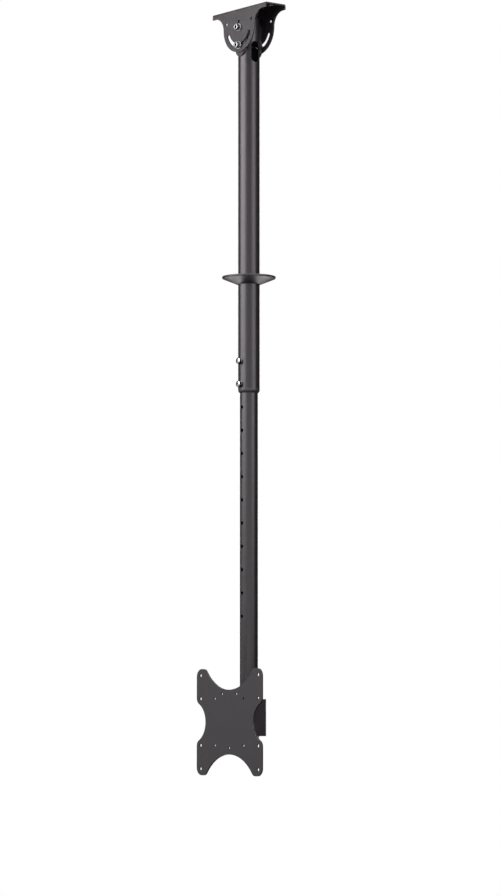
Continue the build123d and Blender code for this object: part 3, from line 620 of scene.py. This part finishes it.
class MOUNT_OT_coat_steel(bpy.types.Operator):
    """Powder coat on the sheets, tubes, saddles and disc, and plating on the stop pin"""

    bl_idname = "mount.coat_steel"
    bl_label = "Coat Steel"

    def execute(self, context):
        coat_nodes(STEEL_NODES, finish("satin_powder_coat", satin_powder_coat))
        coat_nodes(("swivel_stop_pin",), finish("barrel_nickel", barrel_nickel))
        return {"FINISHED"}


class MOUNT_OT_mould_nylon(bpy.types.Operator):
    """Moulded nylon on the cover, collar, guide ring, plug, bushes and friction washers"""

    bl_idname = "mount.mould_nylon"
    bl_label = "Mould Nylon"

    def execute(self, context):
        coat_nodes(NYLON_NODES, finish("moulded_nylon", moulded_nylon))
        return {"FINISHED"}


class MOUNT_OT_cross_bolts(bpy.types.Operator):
    """Pivot bolt and slot bolt with their washers and lock nuts"""

    bl_idname = "mount.cross_bolts"
    bl_label = "Cross Bolts"

    def execute(self, context):
        sizes = context.scene.mount_fasteners
        nickel = finish("barrel_nickel", barrel_nickel)
        nylon = finish("moulded_nylon", moulded_nylon)
        nut_body, collar_inset, insert_depth = 6 * MM, 0.8 * MM, 0.9 * MM
        for name in ("pivot", "slot"):
            low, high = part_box(name + "_bolt")
            front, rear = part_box(name + "_washers")
            nut_low, nut_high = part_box(name + "_nut")
            height = (low.z + high.z) / 2
            screw = socket_screw(
                ((0, front.y, height), FORWARD, ACROSS), M8, sizes, head_r=(high.x - low.x) / 2,
                head_height=front.y - low.y, flats=6 * MM, socket_depth=4 * MM, length=high.y - front.y,
                threaded=24 * MM)
            make_piece(name + "_socket_screw", [screw], nickel, "outer_pole", "plated_steel", name + "_bolt")
            rings = [
                flat_washer(
                    ((0, face, height), inward, ACROSS), outer_r=(rear.x - front.x) / 2, bore_r=bore(M8),
                    thick=1.6 * MM)
                for face, inward in ((front.y, BACK), (rear.y, FORWARD))
            ]
            make_piece(name + "_flat_washers", rings, nickel, "outer_pole", "plated_steel", name + "_washers")
            flats = nut_high.x - nut_low.x
            nut = hexagon_nut(
                ((0, nut_low.y, height), BACK, ACROSS), M8, sizes, flats, nut_body,
                collar_r=flats / 2 - collar_inset, collar_height=nut_high.y - nut_low.y - nut_body)
            make_piece(name + "_lock_nut", [nut], nickel, "outer_pole", "plated_steel", name + "_nut")
            insert = flat_washer(
                ((0, nut_high.y - insert_depth, height), BACK, ACROSS), outer_r=5.2 * MM, bore_r=M8[0],
                thick=0.7 * MM)
            make_piece(name + "_nut_insert", [insert], nylon, "outer_pole", "black_plastic")
        return {"FINISHED"}


class MOUNT_OT_lock_screws(bpy.types.Operator):
    """Two lock screws on the outer tube's end, each on a split washer"""

    bl_idname = "mount.lock_screws"
    bl_label = "Lock Screws"

    def execute(self, context):
        sizes = context.scene.mount_fasteners
        nickel = finish("barrel_nickel", barrel_nickel)
        low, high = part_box("lock_screws")
        ring_low, ring_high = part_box("lock_washers")
        flats = high.x - low.x
        corner = flats / math.sqrt(3)
        screws, rings = [], []
        for height in (low.z + corner, high.z - corner):
            screws.append(hexagon_bolt(
                ((0, ring_low.y, height), FORWARD, ACROSS), M8, sizes, flats, head_height=ring_low.y - low.y,
                length=high.y - ring_low.y, threaded=3.5 * MM))
            rings.append(spring_washer(
                ((0, ring_high.y, height), FORWARD, ACROSS), ring_high.x, bore(M8),
                ring_high.y - ring_low.y, sizes))
        make_piece("lock_hexagon_screws", screws, nickel, "outer_pole", "plated_steel", "lock_screws")
        make_piece("lock_spring_washers", rings, nickel, "outer_pole", "plated_steel", "lock_washers")
        return {"FINISHED"}


class MOUNT_OT_head_fasteners(bpy.types.Operator):
    """Retaining screw under the head, tilt bolts with their nuts, and the turning stud with its nut"""

    bl_idname = "mount.head_fasteners"
    bl_label = "Head Fasteners"

    def execute(self, context):
        sizes = context.scene.mount_fasteners
        nickel = finish("barrel_nickel", barrel_nickel)
        low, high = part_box("retaining_bolt")
        disc_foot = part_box("retaining_disc")[0].z
        screw = socket_screw(
            ((0, 0, disc_foot), DOWN, ACROSS), M8, sizes, head_r=(high.x - low.x) / 2,
            head_height=disc_foot - low.z, flats=5 * MM, socket_depth=2 * MM, length=high.z - disc_foot,
            threaded=10 * MM)
        make_piece("retaining_socket_screw", [screw], nickel, "inner_pole", "plated_steel", "retaining_bolt")

        low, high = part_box("tilt_bolts")
        nut_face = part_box("tilt_nuts")[1].x
        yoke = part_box("swivel_yoke")[1].x
        place = (low.y + high.y) / 2, (low.z + high.z) / 2
        flats, tip = high.y - low.y, 12 * MM
        bolts, nuts = [], []
        for side in (1, -1):
            outward, inward = (side, 0, 0), (-side, 0, 0)
            bolts.append(hexagon_bolt(
                ((side * yoke, *place), outward, BACK), M6, sizes, flats, head_height=high.x - yoke,
                length=yoke - tip, threaded=7 * MM))
            nuts.append(hexagon_nut(
                ((side * nut_face, *place), inward, BACK), M6, sizes, flats, height=5 * MM))
        make_piece("tilt_hexagon_bolts", bolts, nickel, "tilt_bracket", "plated_steel", "tilt_bolts")
        make_piece("tilt_hexagon_nuts", nuts, nickel, "tilt_bracket", "plated_steel", "tilt_nuts")

        low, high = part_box("pivot_stud")
        height = (low.z + high.z) / 2
        size = (high.x - low.x) / 2, M10[1]
        stud = screw_stud(((0, low.y, height), FORWARD, ACROSS), size, sizes, high.y - low.y)
        make_piece("turning_stud", [stud], nickel, "screen_plate", "plated_steel", "pivot_stud")
        low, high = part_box("rotation_washer")
        ring = flat_washer(((0, low.y, height), BACK, ACROSS), high.x, bore(M10), high.y - low.y)
        make_piece("turning_washer", [ring], nickel, "screen_plate", "plated_steel", "rotation_washer")
        low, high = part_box("rotation_nut")
        nut = hexagon_nut(
            ((0, low.y, height), BACK, ACROSS), M10, sizes, flats=high.x - low.x, height=high.y - low.y)
        make_piece("turning_nut", [nut], nickel, "screen_plate", "plated_steel", "rotation_nut")
        return {"FINISHED"}


def polar_place(azimuth, distance, height):
    """A point round the pole; azimuth 0 is in front of the screen plate and grows towards +X."""
    return distance * math.sin(azimuth), -distance * math.cos(azimuth), height


def soft_light(name, power, azimuth, distance, height, width, tall, aim=None):
    """A rectangular softbox round the pole, level or turned towards a height on it."""
    lamp = bpy.data.lights.new(name, "AREA")
    lamp.shape = "RECTANGLE"
    lamp.size, lamp.size_y, lamp.energy = width, tall, power
    light = bpy.data.objects.new(name, lamp)
    light.location = polar_place(azimuth, distance, height)
    rise = 0 if aim is None else aim - height
    light.rotation_euler = (math.pi / 2 + math.atan2(rise, distance), 0, azimuth)
    light.visible_camera = False
    bpy.context.scene.collection.objects.link(light)
    return light


def flag_light(light, state, nodes):
    """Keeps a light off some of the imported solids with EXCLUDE, or on them alone with INCLUDE."""
    group = bpy.data.collections.new(light.name + "_flags")
    for node in nodes:
        group.objects.link(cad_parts[node])
    for each in group.collection_objects:
        each.light_linking.link_state = state
    light.light_linking.receiver_collection = group


class MOUNT_OT_studio(bpy.types.Operator):
    """Pale floor, softboxes, even room light and the camera"""

    bl_idname = "mount.studio"
    bl_label = "Studio"

    def execute(self, context):
        studio = context.scene.mount_studio
        self.lay_floor(context.scene, studio)
        self.hang_lights(studio, studio.camera_azimuth)
        self.light_room(context.scene, studio)
        self.set_camera(context.scene, studio)
        return {"FINISHED"}

    def lay_floor(self, scene, studio):
        """A round sheet: one circle filled by one face."""
        rim = turned(
            ((0, 0, studio.floor_height), UP, ACROSS), full_turn(FLOOR_STEPS), [(studio.floor_radius, 0)])[0]
        mesh = bpy.data.meshes.new("floor")
        mesh.from_pydata(rim.tolist(), [], [list(range(len(rim)))])
        mesh.materials.append(painted_floor(studio.floor_colour))
        floor = bpy.data.objects.new("floor", mesh)
        scene.collection.objects.link(floor)
        # The floor throws no light back, so the undersides stay dark as in a black-lined studio.
        floor.visible_diffuse = floor.visible_glossy = False

    def hang_lights(self, studio, view):
        """Softboxes in front of the mount, above it and behind it, placed from the camera's azimuth."""
        soft_light(
            "key_softbox", studio.key_power, azimuth=view - math.radians(66), distance=3.0, height=0.4,
            width=3.4, tall=2.2)
        soft_light(
            "side_softbox", studio.side_power, azimuth=view + math.radians(52), distance=3.0, height=0.4,
            width=1.9, tall=2.8)
        soft_light(
            "fill_softbox", studio.fill_power, azimuth=view, distance=4.0, height=-1.4, width=4.5, tall=3.4)
        soft_light(
            "plate_softbox", studio.plate_power, azimuth=-view, distance=3.0, height=-1.5, width=1.3,
            tall=1.2)
        soft_light(
            "floor_softbox", studio.floor_power, azimuth=view, distance=0.0, height=2.0, width=2.8, tall=2.8,
            aim=studio.floor_height)
        # The lights behind the mount leave out what would get a bright line along its edge in the main view.
        strip = soft_light(
            "rear_strip", studio.strip_power, azimuth=view + math.pi, distance=3.0, height=-0.95, width=1.4,
            tall=2.8)
        flag_light(strip, "EXCLUDE", ("ceiling_bracket", "ceiling_cover"))
        rear = soft_light(
            "rear_softbox", studio.rear_power, azimuth=math.radians(188), distance=3.0, height=-0.95,
            width=2.4, tall=2.8)
        flag_light(rear, "EXCLUDE", POLE_NODES)
        card = soft_light(
            "cover_card", studio.card_power, azimuth=view + math.pi, distance=1.0, height=-2.0, width=1.4,
            tall=1.4, aim=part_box("ceiling_cover")[0].z)
        flag_light(card, "INCLUDE", ("ceiling_cover",))

    def light_room(self, scene, studio):
        """White all round: full for the camera, dim for the mount."""
        scene.world = bpy.data.worlds.new("studio_room")
        scene.world.use_nodes = True
        tree = scene.world.node_tree
        tree.nodes.clear()
        white = linear("#ffffff")
        path = add_node(tree, "ShaderNodeLightPath")
        room = add_node(tree, "ShaderNodeBackground", {"Color": white, "Strength": studio.room_light})
        seen = add_node(tree, "ShaderNodeBackground", {"Color": white, "Strength": 1.0})
        both = add_node(tree, "ShaderNodeMixShader", {
            0: path.outputs["Is Camera Ray"], 1: room.outputs["Background"], 2: seen.outputs["Background"]})
        add_node(tree, "ShaderNodeOutputWorld", {"Surface": both.outputs["Shader"]})
        scene.view_settings.view_transform = "Standard"

    def set_camera(self, scene, studio):
        """A long lens on an upright 36 mm sensor."""
        lens = bpy.data.cameras.new("camera")
        lens.sensor_fit, lens.sensor_height, lens.lens = "VERTICAL", 36, studio.camera_lens
        view = studio.camera_azimuth
        camera = bpy.data.objects.new("camera", lens)
        camera.location = polar_place(view, studio.camera_distance, studio.camera_height)
        camera.rotation_euler = (math.pi / 2 + studio.camera_pitch, 0, view + studio.camera_turn)
        scene.collection.objects.link(camera)
        scene.camera = camera


class MOUNT_PT_dresser(bpy.types.Panel):
    """Lists the steps that dress the mount"""

    bl_idname = "MOUNT_PT_dresser"
    bl_label = "Ceiling Mount"
    bl_space_type = "VIEW_3D"
    bl_region_type = "UI"
    bl_category = "Ceiling Mount"

    def draw(self, context):
        scene = context.scene
        for operator in OPERATORS:
            self.layout.operator(operator.bl_idname)
        for group in (scene.mount_finishes, scene.mount_fasteners, scene.mount_studio):
            box = self.layout.box()
            for key in group.__annotations__:
                box.prop(group, key)


OPERATORS = (
    MOUNT_OT_coat_steel, MOUNT_OT_mould_nylon, MOUNT_OT_cross_bolts, MOUNT_OT_lock_screws,
    MOUNT_OT_head_fasteners, MOUNT_OT_studio,
)
CLASSES = (MountFinishes, MountFasteners, MountStudio, *OPERATORS, MOUNT_PT_dresser)


def register():
    for each in CLASSES:
        bpy.utils.register_class(each)
    bpy.types.Scene.mount_finishes = bpy.props.PointerProperty(type=MountFinishes)
    bpy.types.Scene.mount_fasteners = bpy.props.PointerProperty(type=MountFasteners)
    bpy.types.Scene.mount_studio = bpy.props.PointerProperty(type=MountStudio)


def unregister():
    del bpy.types.Scene.mount_studio
    del bpy.types.Scene.mount_fasteners
    del bpy.types.Scene.mount_finishes
    for each in reversed(CLASSES):
        bpy.utils.unregister_class(each)


def main():
    register()
    bpy.ops.mount.coat_steel()
    bpy.ops.mount.mould_nylon()
    bpy.ops.mount.cross_bolts()
    bpy.ops.mount.lock_screws()
    bpy.ops.mount.head_fasteners()
    bpy.ops.mount.studio()


if __name__ == "__main__":
    main()
